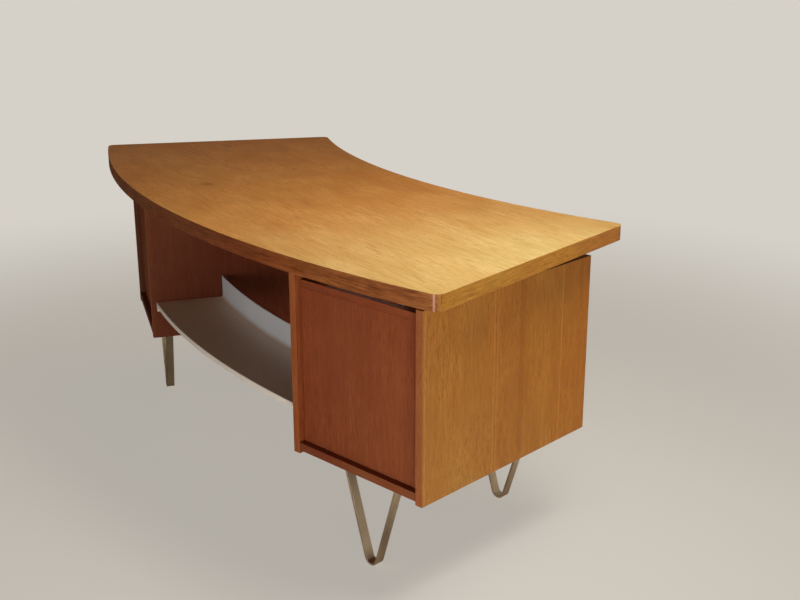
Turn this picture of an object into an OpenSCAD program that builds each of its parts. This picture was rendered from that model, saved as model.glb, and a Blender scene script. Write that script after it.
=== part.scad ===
// Curved executive desk with a floating top, two pedestals, V legs and a shelf between them.
// The origin is on the floor under the middle of the desk. The visitor side is -Y, the user sits at +Y.

/* [Desk top] */
// Height of the writing surface above the floor
desk_h = 750; // [700:1:800]
// Radius of the convex front edge; every other arc shares its centre
arc_r = 2808; // [2500:1:3400]
// Depth of the top, measured along a radius
top_depth = 727; // [700:1:800]
// Straight distance between the front corners before they are rounded
top_front_w = 1955; // [1860:1:2100]
// Straight distance between the rear corners before they are rounded
top_rear_w = 1479; // [1430:1:1600]
// Thickness of the whole top
top_t = 36.5; // [30:0.5:45]
// Thickness of the veneer sheet on the upper face
veneer_t = 1; // [0.6:0.1:3]
// Thickness of the solid lipping round the edge
lip_t = 5; // [3:0.5:10]
// Radius of the rounded corners
corner_r = 20; // [14:1:50]

/* [Pedestals] */
// Angle between the desk's middle and each pedestal's centre line, a radius of the arcs
ped_angle = 14.2; // [13.5:0.1:15]
// Distance from the top's front edge back to the pedestal's front
ped_setback = 75; // [50:1:90]
// Width of a pedestal over its side panels
ped_w = 412; // [360:1:430]
// Depth of a pedestal
ped_d = 586; // [560:1:600]
// Thickness of a side panel
side_t = 20; // [16:1:24]
// How far the side panels hang below the bottom board
side_drop = 9; // [0:1:20]
// Thickness of the bottom board
floor_t = 20; // [16:1:24]
// Thickness of the top board
deck_t = 18; // [16:1:24]
// How far the side panels rise above the top board
deck_drop = 16.5; // [10:0.5:25]
// Thickness of the visitor panel
panel_t = 12; // [8:1:16]
// How far the visitor panel lies behind the edges of the side panels
panel_recess = 17; // [8:1:24]
// Play between a screw and its hole
hole_play = 0.1; // [0.05:0.05:0.2]

/* [Spacer rails] */
// Height of the rails, which carry the top above the pedestals
rail_h = 47.5; // [30:0.5:70]
// Length of a spacer rail, along the pedestal's front
rail_l = 238; // [160:2:300]
// Width of a spacer rail
rail_w = 20; // [16:1:30]
// Distance from the pedestal's front or rear to the nearest face of a rail
rail_inset = 38; // [30:1:60]
// Radius of the bolts that hold the top
bolt_r = 3; // [2.5:0.5:4]
// How deep the bolts reach into the top
bolt_bite = 22; // [12:1:25]
// Distance from a bolt to the end of its rail
bolt_inset = 25; // [15:1:40]

/* [Legs] */
// Height of the legs, from the floor to the bottom board
leg_h = 250; // [200:1:300]
// Width of the metal strip
leg_w = 24; // [18:1:36]
// Thickness of the metal strip
leg_t = 5; // [4:0.5:7]
// Outer radius of the bend at the floor
leg_bend_r = 20; // [12:1:30]
// Width of the flat on which the bend stands
foot_w = 5; // [3:0.5:8]
// Distance between the outer faces of the two struts at the bottom board
leg_spread = 184; // [140:1:210]
// Distance from the pedestal's front or rear to the middle of a leg
leg_inset = 60; // [40:1:90]
// Length of the fixing lug outside each strut
lug_l = 36; // [30:1:48]
// Radius of the leg screws
screw_r = 2.2; // [1.8:0.1:2.6]
// How deep the leg screws reach into the bottom board
screw_bite = 14; // [8:1:15]

/* [Shelf] */
// Height of the shelf's upper face above the floor
shelf_z = 353; // [300:1:420]
// Distance from the top's front edge back to the shelf's front edge
shelf_setback = 83; // [78:1:120]
// Depth of the shelf from its front edge to its upstand
shelf_d = 200; // [140:1:300]
// Thickness of the sheet metal
shelf_t = 2; // [1.5:0.5:2.5]
// Height of the folded front edge
shelf_lip = 13; // [8:1:20]
// Height of the upstand above the shelf
shelf_back_h = 67; // [40:1:90]
// Inner radius of the bend between shelf and upstand
shelf_bend_r = 8; // [4:1:14]
// Outer radius of the front fold
shelf_fold_r = 3; // [2.6:0.2:5]
// Height of the end flanges that are screwed to the pedestals
shelf_flange_h = 28; // [22:1:40]
// How deep the shelf screws reach into the side panels
shelf_screw_bite = 12; // [8:1:14]

/* [Drawers] */
// Gap between a drawer and the side panels
drawer_gap = 2; // [1:0.5:4]
// Gap above and below each drawer front
front_gap = 2.5; // [1.5:0.5:4]
// How far the drawer fronts lie behind the edges of the side panels
front_setback = 3; // [0:1:8]
// Thickness of a drawer front
front_t = 18; // [15:1:22]
// Length of a drawer box behind its front
box_l = 490; // [400:5:500]
// Thickness of the box sides and the box back
box_t = 12; // [10:1:14]
// Thickness of the box bottom
bottom_t = 6; // [4:1:9]
// Height of the box bottom above the lower edge of the box sides
bottom_lift = 6; // [3:1:12]
// How far the box sides end above the lower edge of the front
box_up = 4; // [2:1:10]
// How far the box sides end below the upper edge of the front
box_down = 14; // [8:1:30]
// Height of a runner strip
runner_h = 10; // [8:1:16]
// How far a runner strip reaches into the groove of a box side
runner_bite = 5; // [4:0.5:6]
// Gap between the top of a runner strip and the groove that hangs on it
runner_gap = 0.3; // [0.2:0.1:0.5]
// Radius of a knob
knob_r = 15; // [12:1:20]
// How far a knob stands out
knob_l = 24; // [18:1:30]

/* [Hidden] */

// Steps along a long arc, along a rounded corner and round a bend, and the fineness of round pieces
arc_n = 96;
corner_n = 24;
bend_n = 16;
round_n = 48;
ring_n = 720;
// Overlap that makes cuts and joints clean
eps = 1;

// Outline of the top, seen from above, with the centre of the arcs at [0, 0]
rear_r = arc_r - top_depth;
front_pt = [top_front_w / 2, -sqrt(pow(arc_r, 2) - pow(top_front_w / 2, 2))];
rear_pt = [top_rear_w / 2, -sqrt(pow(rear_r, 2) - pow(top_rear_w / 2, 2))];
end_dir = (rear_pt - front_pt) / norm(rear_pt - front_pt);
end_out = [end_dir.y, -end_dir.x];
end_a = atan2(end_out.y, end_out.x);
front_c = on_end_line(arc_r - corner_r);
rear_c = on_end_line(rear_r + corner_r);
front_a = atan2(front_c.x, -front_c.y);
rear_a = atan2(rear_c.x, -rear_c.y);
overall_d = arc_r + rear_c.y + corner_r;
arc_y = arc_r - overall_d / 2;

// Heights and places that follow from the sizes above
side_z = leg_h - side_drop;
floor_z = leg_h + floor_t;
deck_z = desk_h - top_t - rail_h;
ped_in = ped_w / 2 - side_t;
ped_r = arc_r - ped_setback;
shelf_front_r = arc_r - shelf_setback;
shelf_rear_r = shelf_front_r - shelf_d;
front_y = ped_d - front_setback - front_t;
box_x = ped_in - drawer_gap;
box_y = front_y - box_l;
row_h = (deck_z - deck_t - floor_z - 4 * front_gap) / 3;
row_z = floor_z + front_gap;
row_pitch = row_h + front_gap;
// Runner strips reach from near the visitor panel to near the drawer fronts, and stop the drawers there
runner_start = panel_recess + panel_t + 20;
runner_end = front_y - 8;
groove_under = 0.7;
groove_play = 1;
stop_play = 2;
// A leg's struts lean out by this angle, so that their outer faces are leg_spread apart at the board
foot_z = sqrt(pow(leg_bend_r, 2) - pow(foot_w / 2, 2));
foot_a = asin(foot_w / 2 / leg_bend_r);
leg_hyp = norm([leg_spread / 2, leg_h - foot_z]);
leg_a = acos(leg_bend_r / leg_hyp) - atan2(leg_h - foot_z, leg_spread / 2);
// Screw heads
head_h = 2.4;
bolt_head_h = 3;
head_ratio = 2;
// Knob: spigot in the front, base on it, neck behind the head
spigot_r = 5;
spigot_l = 11;
knob_base_r = 9;
knob_neck_r = 6.5;
knob_edge = 3;

// Each drawer: pedestal (1 is right, -1 is left), lower edge of its front, height of its front
RIGHT_TOP = [1, row_z + 2 * row_pitch, row_h];
RIGHT_MIDDLE = [1, row_z + row_pitch, row_h];
RIGHT_LOW = [1, row_z, row_h];
LEFT_TOP = [-1, row_z + 2 * row_pitch, row_h];
LEFT_DEEP = [-1, row_z, row_h + row_pitch];
DRAWERS = [RIGHT_TOP, RIGHT_MIDDLE, RIGHT_LOW, LEFT_TOP, LEFT_DEEP];

WOOD_TOP = [0.80, 0.60, 0.34];
WOOD_SIDE = [0.66, 0.42, 0.20];
WOOD_PANEL = [0.47, 0.22, 0.14];
WOOD_LIPPING = [0.52, 0.32, 0.17];
WOOD_BOX = [0.82, 0.70, 0.52];
WHITE = [0.90, 0.89, 0.86];
NICKEL = [0.62, 0.58, 0.52];

function on_end_line(rho) =
    let (p = front_pt - end_out * corner_r, along = p * end_dir)
    p + end_dir * (-along - sqrt(pow(along, 2) - p * p + pow(rho, 2)));
function polar(r, a) = r * [sin(a), -cos(a)];
function turn(c, r, a0, a1, n) = [for (i = [0 : n]) c + r * [cos(a0 + (a1 - a0) * i / n), sin(a0 + (a1 - a0) * i / n)]];
function arc(r, a) = [for (i = [1 : arc_n - 1]) polar(r, a * (2 * i / arc_n - 1))];
function backwards(pts) = [for (i = [len(pts) - 1 : -1 : 0]) pts[i]];
function flip(pts) = [for (p = backwards(pts)) [-p.x, p.y]];
function strip(outer, inner) = concat(outer, backwards(inner));

// The two long edges with their rounded corners, drawn in by s
function front_edge(s) =
    let (c = turn(front_c, corner_r - s, front_a - 90, end_a, corner_n))
    concat(flip(c), arc(arc_r - s, front_a), c);
function rear_edge(s) =
    let (c = turn(rear_c, corner_r - s, end_a, 90 + rear_a, corner_n))
    concat(c, arc(rear_r + s, -rear_a), flip(c));
function last(pts) = pts[len(pts) - 1];

// Where an arc of the desk crosses the inner face of a pedestal, as a distance from the pedestal's front
function cross_y(r) = ped_r - sqrt(pow(r, 2) - pow(ped_w / 2, 2));

module on_plan(z, h) {
    translate([0, arc_y, z])
        linear_extrude(h)
            children();
}

// Local frame of a pedestal: X outwards, Y towards the user, origin on the floor under its front
module at_right() {
    translate([0, arc_y, 0])
        rotate([0, 0, ped_angle])
            translate([0, -ped_r, 0])
                children();
}

module at_pedestal(side) {
    if (side > 0)
        at_right() children();
    else
        mirror([1, 0, 0]) at_right() children();
}

module block(from, to) {
    translate(from)
        cube(to - from);
}

module drill(r, l) {
    translate([0, 0, -eps])
        cylinder(r = r + hole_play, h = l + eps, $fn = round_n);
}

// A screw along +Z whose head sits below Z = 0
module screw(r, l, head) {
    cylinder(r = r, h = l, $fn = round_n);
    translate([0, 0, -head])
        cylinder(r = r * head_ratio, h = head, $fn = round_n);
}

// Places of the bolts in a pedestal: two through each spacer rail
module at_bolts() {
    for (x = [-1, 1], y = [rail_inset + rail_w / 2, ped_d - rail_inset - rail_w / 2])
        translate([x * (rail_l / 2 - bolt_inset), y, deck_z - deck_t])
            children();
}

// Places of the screws in a pedestal's legs: two through each lug
module at_leg_screws(y) {
    for (x = [-1, 1], k = [0.3, 0.75])
        translate([x * (leg_spread / 2 + k * lug_l), y, leg_h - leg_t])
            children();
}

// Places of the shelf screws in the inner side panel, along +X
module at_shelf_screws() {
    y0 = cross_y(shelf_front_r);
    y1 = cross_y(shelf_rear_r);
    for (k = [0.2, 0.8])
        translate([-ped_w / 2 - shelf_t, y0 + k * (y1 - y0), shelf_z - 0.6 * shelf_flange_h])
            rotate([0, 90, 0])
                children();
}

// Desk top
module top_board(z, h) {
    on_plan(z, h)
        polygon(concat(front_edge(lip_t), rear_edge(lip_t)));
}

module desktop_core() {
    color(WOOD_BOX)
        difference() {
            top_board(desk_h - top_t, top_t - veneer_t);
            for (side = [-1, 1])
                at_pedestal(side)
                    at_bolts()
                        translate([0, 0, deck_t + rail_h])
                            drill(bolt_r, bolt_bite);
        }
}

module top_veneer() {
    color(WOOD_TOP)
        top_board(desk_h - veneer_t, veneer_t);
}

module lipping(outer, inner) {
    color(WOOD_LIPPING)
        on_plan(desk_h - top_t, top_t)
            polygon(strip(outer, inner));
}

module lipping_end() {
    lipping([last(front_edge(0)), rear_edge(0)[0]], [last(front_edge(lip_t)), rear_edge(lip_t)[0]]);
}

// Pedestals
module side_panel(side, x) {
    color(WOOD_SIDE)
        at_pedestal(side)
            difference() {
                block([x - side_t / 2, 0, side_z], [x + side_t / 2, ped_d, deck_z + deck_drop]);
                if (x < 0)
                    at_shelf_screws()
                        drill(screw_r, shelf_t + shelf_screw_bite);
            }
}

module side_outer(side) {
    side_panel(side, ped_w / 2 - side_t / 2);
}

module side_inner(side) {
    side_panel(side, side_t / 2 - ped_w / 2);
}

module deck(side) {
    color(WOOD_PANEL)
        at_pedestal(side)
            difference() {
                block([-ped_in, panel_recess, deck_z - deck_t], [ped_in, ped_d - front_setback, deck_z]);
                at_bolts()
                    drill(bolt_r, deck_t + eps);
            }
}

module floor_board(side) {
    color(WOOD_SIDE)
        at_pedestal(side)
            difference() {
                block([-ped_in, 0, leg_h], [ped_in, ped_d - front_setback, floor_z]);
                for (y = [leg_inset, ped_d - leg_inset])
                    at_leg_screws(y)
                        drill(screw_r, leg_t + screw_bite);
            }
}

module visitor_panel(side) {
    color(WOOD_PANEL)
        at_pedestal(side)
            block([-ped_in, panel_recess, floor_z], [ped_in, panel_recess + panel_t, deck_z - deck_t]);
}

module spacer_rails() {
    color(WHITE)
        for (side = [-1, 1])
            at_pedestal(side)
                difference() {
                    for (y = [rail_inset, ped_d - rail_inset - rail_w])
                        block([-rail_l / 2, y, deck_z], [rail_l / 2, y + rail_w, deck_z + rail_h]);
                    at_bolts()
                        translate([0, 0, deck_t])
                            drill(bolt_r, rail_h + eps);
                }
}

module top_bolts() {
    color(NICKEL)
        for (side = [-1, 1])
            at_pedestal(side)
                at_bolts()
                    screw(bolt_r, deck_t + rail_h + bolt_bite - eps, bolt_head_h);
}

// Legs
module leg_profile() {
    centre = [0, foot_z];
    outer = turn(centre, leg_bend_r, foot_a - 90, -leg_a, bend_n);
    inner = turn(centre, leg_bend_r - leg_t, foot_a - 90, -leg_a, bend_n);
    lug_z = leg_h - leg_t;
    lug_x = leg_spread / 2 + lug_l;
    outer_top = last(outer) + [(lug_z - last(outer).y) * tan(leg_a), lug_z - last(outer).y];
    inner_top = last(inner) + [(leg_h - last(inner).y) * tan(leg_a), leg_h - last(inner).y];
    half_out = concat(outer, [outer_top, [lug_x, lug_z], [lug_x, leg_h]]);
    half_in = concat(inner, [inner_top]);
    polygon(strip(concat(flip(half_out), half_out), concat(flip(half_in), half_in)));
}

module leg(side, y) {
    color(NICKEL)
        at_pedestal(side)
            difference() {
                translate([0, y + leg_w / 2, 0])
                    rotate([90, 0, 0])
                        linear_extrude(leg_w)
                            leg_profile();
                at_leg_screws(y)
                    drill(screw_r, leg_t + eps);
            }
}

module leg_screws() {
    color(NICKEL)
        for (side = [-1, 1], y = [leg_inset, ped_d - leg_inset])
            at_pedestal(side)
                at_leg_screws(y)
                    screw(screw_r, leg_t + screw_bite - eps, head_h);
}

// Shelf
module shelf_section() {
    bend = [shelf_rear_r + shelf_bend_r, shelf_z + shelf_bend_r];
    fold = [shelf_front_r - shelf_fold_r, shelf_z - shelf_fold_r];
    upper = concat([[shelf_front_r, shelf_z - shelf_lip]], turn(fold, shelf_fold_r, 0, 90, bend_n / 4),
        turn(bend, shelf_bend_r, 270, 180, bend_n / 2), [[shelf_rear_r, shelf_z + shelf_back_h]]);
    lower = concat([[shelf_front_r - shelf_t, shelf_z - shelf_lip]],
        turn(fold, shelf_fold_r - shelf_t, 0, 90, bend_n / 4),
        turn(bend, shelf_bend_r + shelf_t, 270, 180, bend_n / 2),
        [[shelf_rear_r - shelf_t, shelf_z + shelf_back_h]]);
    polygon(strip(upper, lower));
}

// Wedge between the inner faces of the two pedestals
module knee_wedge() {
    tip = [0, -ped_w / 2 / sin(ped_angle)];
    reach = arc_r * [sin(ped_angle), -cos(ped_angle)];
    polygon([tip, tip + [-reach.x, reach.y], tip + reach]);
}

module shelf() {
    y0 = cross_y(shelf_front_r) + shelf_t / 2;
    y1 = cross_y(shelf_rear_r) - shelf_t / 2;
    color(WHITE)
        difference() {
            union() {
                intersection() {
                    translate([0, arc_y, 0])
                        rotate([0, 0, -90 - ped_angle])
                            rotate_extrude(angle = 2 * ped_angle, $fn = ring_n)
                                shelf_section();
                    on_plan(shelf_z - shelf_lip - eps, shelf_lip + shelf_back_h + 2 * eps)
                        knee_wedge();
                }
                for (side = [-1, 1])
                    at_pedestal(side)
                        block([-ped_w / 2 - shelf_t, y0, shelf_z - shelf_flange_h],
                            [-ped_w / 2, y1, shelf_z - shelf_t / 2]);
            }
            for (side = [-1, 1])
                at_pedestal(side)
                    at_shelf_screws()
                        drill(screw_r, shelf_t + eps);
        }
}

module shelf_screws() {
    color(NICKEL)
        for (side = [-1, 1])
            at_pedestal(side)
                at_shelf_screws()
                    screw(screw_r, shelf_t + shelf_screw_bite - eps, head_h);
}

// Drawers
function strip_z(d) = d[1] + box_up + (d[2] - box_up - box_down - runner_h) / 2;

module runners() {
    color(WOOD_BOX)
        for (d = DRAWERS)
            at_pedestal(d[0])
                for (x = [-1, 1])
                    block([min(x * ped_in, x * (box_x - runner_bite)), runner_start, strip_z(d)],
                        [max(x * ped_in, x * (box_x - runner_bite)), runner_end, strip_z(d) + runner_h]);
}

module drawer_front(d) {
    color(WOOD_SIDE)
        at_pedestal(d[0])
            difference() {
                block([-box_x, front_y, d[1]], [box_x, front_y + front_t, d[1] + d[2]]);
                at_knob(d)
                    rotate([180, 0, 0])
                        drill(spigot_r, spigot_l + eps / 2);
            }
}

module drawer_side(d, x) {
    groove_in = box_x - runner_bite - groove_play;
    low = strip_z(d) - groove_under;
    high = strip_z(d) + runner_h + runner_gap;
    color(WOOD_BOX)
        at_pedestal(d[0])
            difference() {
                block([min(x * box_x, x * (box_x - box_t)), box_y, d[1] + box_up],
                    [max(x * box_x, x * (box_x - box_t)), front_y, d[1] + d[2] - box_down]);
                block([min(x * groove_in, x * (box_x + eps)), box_y - eps, low],
                    [max(x * groove_in, x * (box_x + eps)), runner_end + stop_play, high]);
            }
}

module drawer_back(d) {
    color(WOOD_BOX)
        at_pedestal(d[0])
            block([box_t - box_x, box_y, d[1] + box_up + bottom_lift + bottom_t],
                [box_x - box_t, box_y + box_t, d[1] + d[2] - box_down]);
}

module drawer_bottom(d) {
    color(WOOD_BOX)
        at_pedestal(d[0])
            block([box_t - box_x, box_y, d[1] + box_up + bottom_lift],
                [box_x - box_t, front_y, d[1] + box_up + bottom_lift + bottom_t]);
}

// Place of a knob, with +Z pointing out of the front
module at_knob(d) {
    translate([0, front_y + front_t, d[1] + d[2] - row_h / 2])
        rotate([-90, 0, 0])
            children();
}

module knob_section() {
    cove_l = knob_l - knob_edge * 2;
    cove = [for (i = [0 : bend_n]) [
        knob_neck_r + (knob_base_r - knob_neck_r) * pow(1 - i / bend_n, 3) + (knob_r - knob_neck_r) * pow(i / bend_n, 3),
        cove_l * i / bend_n
    ]];
    rim = turn([knob_r - knob_edge, knob_l - knob_edge], knob_edge, 0, 90, bend_n / 2);
    polygon(concat([[0, -spigot_l], [spigot_r, -spigot_l], [spigot_r, 0]], cove, rim, [[0, knob_l]]));
}

module drawer_knob(d) {
    color(WOOD_LIPPING)
        at_pedestal(d[0])
            at_knob(d)
                rotate_extrude($fn = round_n)
                    knob_section();
}

desktop_core();
top_veneer();
lipping(front_edge(0), front_edge(lip_t));  // lipping_front
lipping(rear_edge(0), rear_edge(lip_t));  // lipping_rear
lipping_end();  // lipping_end_right
mirror([1, 0, 0]) lipping_end();  // lipping_end_left
side_outer(1);  // side_outer_right
side_inner(1);  // side_inner_right
deck(1);  // deck_right
floor_board(1);  // floor_right
visitor_panel(1);  // visitor_panel_right
side_outer(-1);  // side_outer_left
side_inner(-1);  // side_inner_left
deck(-1);  // deck_left
floor_board(-1);  // floor_left
visitor_panel(-1);  // visitor_panel_left
spacer_rails();
top_bolts();
leg(1, leg_inset);  // leg_front_right
leg(1, ped_d - leg_inset);  // leg_rear_right
leg(-1, leg_inset);  // leg_front_left
leg(-1, ped_d - leg_inset);  // leg_rear_left
leg_screws();
shelf();
shelf_screws();
runners();
drawer_front(RIGHT_TOP);  // right_top_front
drawer_side(RIGHT_TOP, 1);  // right_top_side_outer
drawer_side(RIGHT_TOP, -1);  // right_top_side_inner
drawer_back(RIGHT_TOP);  // right_top_back
drawer_bottom(RIGHT_TOP);  // right_top_bottom
drawer_knob(RIGHT_TOP);  // right_top_knob
drawer_front(RIGHT_MIDDLE);  // right_middle_front
drawer_side(RIGHT_MIDDLE, 1);  // right_middle_side_outer
drawer_side(RIGHT_MIDDLE, -1);  // right_middle_side_inner
drawer_back(RIGHT_MIDDLE);  // right_middle_back
drawer_bottom(RIGHT_MIDDLE);  // right_middle_bottom
drawer_knob(RIGHT_MIDDLE);  // right_middle_knob
drawer_front(RIGHT_LOW);  // right_low_front
drawer_side(RIGHT_LOW, 1);  // right_low_side_outer
drawer_side(RIGHT_LOW, -1);  // right_low_side_inner
drawer_back(RIGHT_LOW);  // right_low_back
drawer_bottom(RIGHT_LOW);  // right_low_bottom
drawer_knob(RIGHT_LOW);  // right_low_knob
drawer_front(LEFT_TOP);  // left_top_front
drawer_side(LEFT_TOP, 1);  // left_top_side_outer
drawer_side(LEFT_TOP, -1);  // left_top_side_inner
drawer_back(LEFT_TOP);  // left_top_back
drawer_bottom(LEFT_TOP);  // left_top_bottom
drawer_knob(LEFT_TOP);  // left_top_knob
drawer_front(LEFT_DEEP);  // left_deep_front
drawer_side(LEFT_DEEP, 1);  // left_deep_side_outer
drawer_side(LEFT_DEEP, -1);  // left_deep_side_inner
drawer_back(LEFT_DEEP);  // left_deep_back
drawer_bottom(LEFT_DEEP);  // left_deep_bottom
drawer_knob(LEFT_DEEP);  // left_deep_knob
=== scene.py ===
"""Looks, light and camera of a curved desk with a floating top.

Lengths are in metres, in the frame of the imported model. Colours are sRGB, in 0 to 255.
"""
import math
import random
from collections import namedtuple

import bpy
from mathutils import Matrix, Vector

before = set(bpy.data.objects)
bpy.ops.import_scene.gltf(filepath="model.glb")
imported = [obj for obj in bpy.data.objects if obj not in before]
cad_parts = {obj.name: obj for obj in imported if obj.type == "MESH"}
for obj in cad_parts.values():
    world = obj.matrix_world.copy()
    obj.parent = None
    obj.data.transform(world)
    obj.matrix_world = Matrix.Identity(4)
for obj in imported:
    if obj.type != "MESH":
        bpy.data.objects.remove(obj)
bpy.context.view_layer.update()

# Plan of the desk: arcs about one centre, pedestals on radii of it
ARC_Y = 2.37955
FRONT_R = 2.808
REAR_R = 2.081
CORNER_R = 0.020
FRONT_CORNER_X = 0.9775
REAR_CORNER_X = 0.7395
PEDESTAL_R = 2.733
PEDESTAL_ANGLE = math.radians(14.2)
PEDESTAL_W = 0.412
SIDE_T = 0.020
SIDE_IN_X = PEDESTAL_W / 2 - SIDE_T

# Heights of the writing surface and of the shelf's upper face
TOP_Z = 0.750
SHELF_Z = 0.353


def arc_point(radius, x):
    """Point on the visitor side of a circle about the arcs' centre."""
    return Vector((x, ARC_Y - math.sqrt(radius ** 2 - x ** 2)))


# Ends of the top: straight lines from the front corner to the rear corner
FRONT_CORNER = arc_point(FRONT_R, FRONT_CORNER_X)
REAR_CORNER = arc_point(REAR_R, REAR_CORNER_X)
END_ALONG = (REAR_CORNER - FRONT_CORNER).normalized()
END_OUT = Vector((END_ALONG.y, -END_ALONG.x))
END_REACH = END_OUT.dot(FRONT_CORNER)


def corner_centre(radius):
    """Centre of a rounded corner: on a circle about the arcs' centre, inside the end line."""
    start = FRONT_CORNER - END_OUT * CORNER_R - Vector((0, ARC_Y))
    along = start.dot(END_ALONG)
    step = -along - math.sqrt(along ** 2 - start.dot(start) + radius ** 2)
    centre = start + END_ALONG * step
    return Vector((centre.x, centre.y + ARC_Y))


# Camera, fitted to the photograph's edges
CAMERA_AT = (2.68769, -1.40330, 1.395585)
CAMERA_YAW = math.radians(58.130)
CAMERA_PITCH = math.radians(17.631)
CAMERA_ROLL = math.radians(-0.082)
CAMERA_LENS = 51.153
CAMERA_SENSOR = 36

WHITE = (255, 255, 255)


# Node trees

def linear(rgb):
    """Linear colour with alpha from an sRGB colour."""
    unit = [c / 255 for c in rgb]
    return [c / 12.92 if c <= 0.04045 else ((c + 0.055) / 1.055) ** 2.4 for c in unit] + [1.0]


class Nodes:
    """A node tree with a short call for each kind of node used here."""

    def __init__(self, tree):
        self.tree = tree
        tree.nodes.clear()

    def add(self, kind, **settings):
        node = self.tree.nodes.new(kind)
        for name, value in settings.items():
            setattr(node, name, value)
        return node

    def feed(self, socket, value):
        """Link a socket to another one, or set its value."""
        if isinstance(value, bpy.types.NodeSocket):
            self.tree.links.new(value, socket)
        else:
            socket.default_value = value

    def math(self, operation, a, b=0.0, c=0.0, clamp=False):
        node = self.add("ShaderNodeMath", operation=operation, use_clamp=clamp)
        for socket, value in zip(node.inputs, (a, b, c)):
            self.feed(socket, value)
        return node.outputs[0]

    def total(self, *parts):
        """Sum of (value, weight) pairs."""
        result = 0.0
        for value, weight in parts:
            result = self.math("MULTIPLY_ADD", value, weight, result)
        return result

    def product(self, first, *others):
        for value in others:
            first = self.math("MULTIPLY", first, value)
        return first

    def split(self, vector):
        node = self.add("ShaderNodeSeparateXYZ")
        self.feed(node.inputs[0], vector)
        return node.outputs[0], node.outputs[1], node.outputs[2]

    def join(self, x, y, z):
        node = self.add("ShaderNodeCombineXYZ")
        for socket, value in zip(node.inputs, (x, y, z)):
            self.feed(socket, value)
        return node.outputs[0]

    def vector(self, operation, a, b):
        node = self.add("ShaderNodeVectorMath", operation=operation)
        self.feed(node.inputs[0], a)
        self.feed(node.inputs[1], b)
        return node.outputs["Value" if operation in ("LENGTH", "DISTANCE") else "Vector"]

    def length(self, vector):
        return self.vector("LENGTH", vector, (0, 0, 0))

    def near(self, value, target, reach):
        """1 where value is within reach of target, else 0."""
        return self.math("COMPARE", value, target, reach)

    def fade(self, value, low, high):
        """0 below low, 1 above high and smooth between; high may be less than low."""
        node = self.add("ShaderNodeMapRange", interpolation_type="SMOOTHSTEP")
        for name, number in (("From Min", low), ("From Max", high), ("To Min", 0.0), ("To Max", 1.0)):
            node.inputs[name].default_value = number
        self.feed(node.inputs["Value"], value)
        return node.outputs["Result"]

    def blend(self, factor, a, b, mode="MIX"):
        """Mix of two colours, each a socket or sRGB."""
        node = self.add("ShaderNodeMix", data_type="RGBA", blend_type=mode)
        self.feed(node.inputs[0], factor)
        for socket, colour in ((node.inputs[6], a), (node.inputs[7], b)):
            self.feed(socket, colour if isinstance(colour, bpy.types.NodeSocket) else linear(colour))
        return node.outputs[2]

    def tinted(self, colour, tint):
        return self.blend(1.0, colour, tint, "MULTIPLY")

    def mix(self, share, first, second):
        """Mix of two shaders; share is how much of the second one shows."""
        node = self.add("ShaderNodeMixShader")
        for socket, value in zip(node.inputs, (share, first, second)):
            self.feed(socket, value)
        return node.outputs[0]


class Shader(Nodes):
    """The node tree of one material around a Principled shader."""

    def __init__(self, name):
        self.material = bpy.data.materials.new(name)
        self.material.use_nodes = True
        super().__init__(self.material.node_tree)
        self.surface = self.add("ShaderNodeBsdfPrincipled")
        self.output = self.add("ShaderNodeOutputMaterial")
        self.tree.links.new(self.surface.outputs[0], self.output.inputs["Surface"])

    def set(self, name, value):
        self.feed(self.surface.inputs[name], value)

    def position(self):
        return self.add("ShaderNodeTexCoord").outputs["Object"]

    def noise(self, at, scale, detail=2.0, rough=0.5):
        """Noise of 0 to 1 with its own number of cells per metre along each axis."""
        node = self.add("ShaderNodeTexNoise")
        self.feed(node.inputs["Vector"], self.vector("MULTIPLY", at, scale))
        node.inputs["Scale"].default_value = 1.0
        node.inputs["Detail"].default_value = detail
        node.inputs["Roughness"].default_value = rough
        return node.outputs[0]

    def drawn_out(self, at, across, along, detail=2.0, rough=0.5):
        """Noise in grain coordinates, with its numbers of cells per metre across and along the grain."""
        return self.noise(at, (across, across, along), detail, rough)

    def about_zero(self, noise, width):
        """Noise of 0 to 1 as a swing of that width about 0."""
        return self.total((noise, width), (-0.5, width))

    def ramp(self, value, stops):
        """Colour that changes with value, from (place, sRGB) stops."""
        node = self.add("ShaderNodeValToRGB")
        self.feed(node.inputs[0], value)
        elements = node.color_ramp.elements
        while len(elements) < len(stops):
            elements.new(0.5)
        for element, (place, rgb) in zip(elements, stops):
            element.position = place
            element.color = linear(rgb)
        return node.outputs[0]

    def bump(self, height, depth):
        node = self.add("ShaderNodeBump")
        node.inputs["Strength"].default_value = 1.0
        node.inputs["Distance"].default_value = depth
        self.feed(node.inputs["Height"], height)
        self.set("Normal", node.outputs[0])


# Grain coordinates: each gives a vector (across, through, along) in metres

def ordered(shader, place, order):
    """Place with its axes in another order; order names the axes across, through and along the grain."""
    axes = dict(zip("xyz", shader.split(place)))
    return shader.join(*[axes[name] for name in order])


def desk_grain(shader, order):
    """Straight grain in the desk's own axes."""
    return ordered(shader, shader.position(), order)


def top_grain(shader):
    return desk_grain(shader, "yzx")


def runner_grain(shader):
    return desk_grain(shader, "zxy")


def knob_grain(shader):
    """Grain that shows as rings and end grain on a turned knob."""
    return desk_grain(shader, "xzy")


def pedestal_place(shader, side):
    """Place in a pedestal: x outwards from its middle, y back from its front, z up."""
    node = shader.add("ShaderNodeMapping")
    shader.feed(node.inputs["Vector"], shader.position())
    sine, cosine = math.sin(PEDESTAL_ANGLE), math.cos(PEDESTAL_ANGLE)
    node.inputs["Scale"].default_value = (side, 1, 1)
    node.inputs["Rotation"].default_value = (0, 0, -PEDESTAL_ANGLE)
    node.inputs["Location"].default_value = (-ARC_Y * sine, PEDESTAL_R - ARC_Y * cosine, 0)
    return node.outputs[0]


def pedestal_grain(shader, side, order):
    """Straight grain in a pedestal's axes."""
    return ordered(shader, pedestal_place(shader, side), order)


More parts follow.
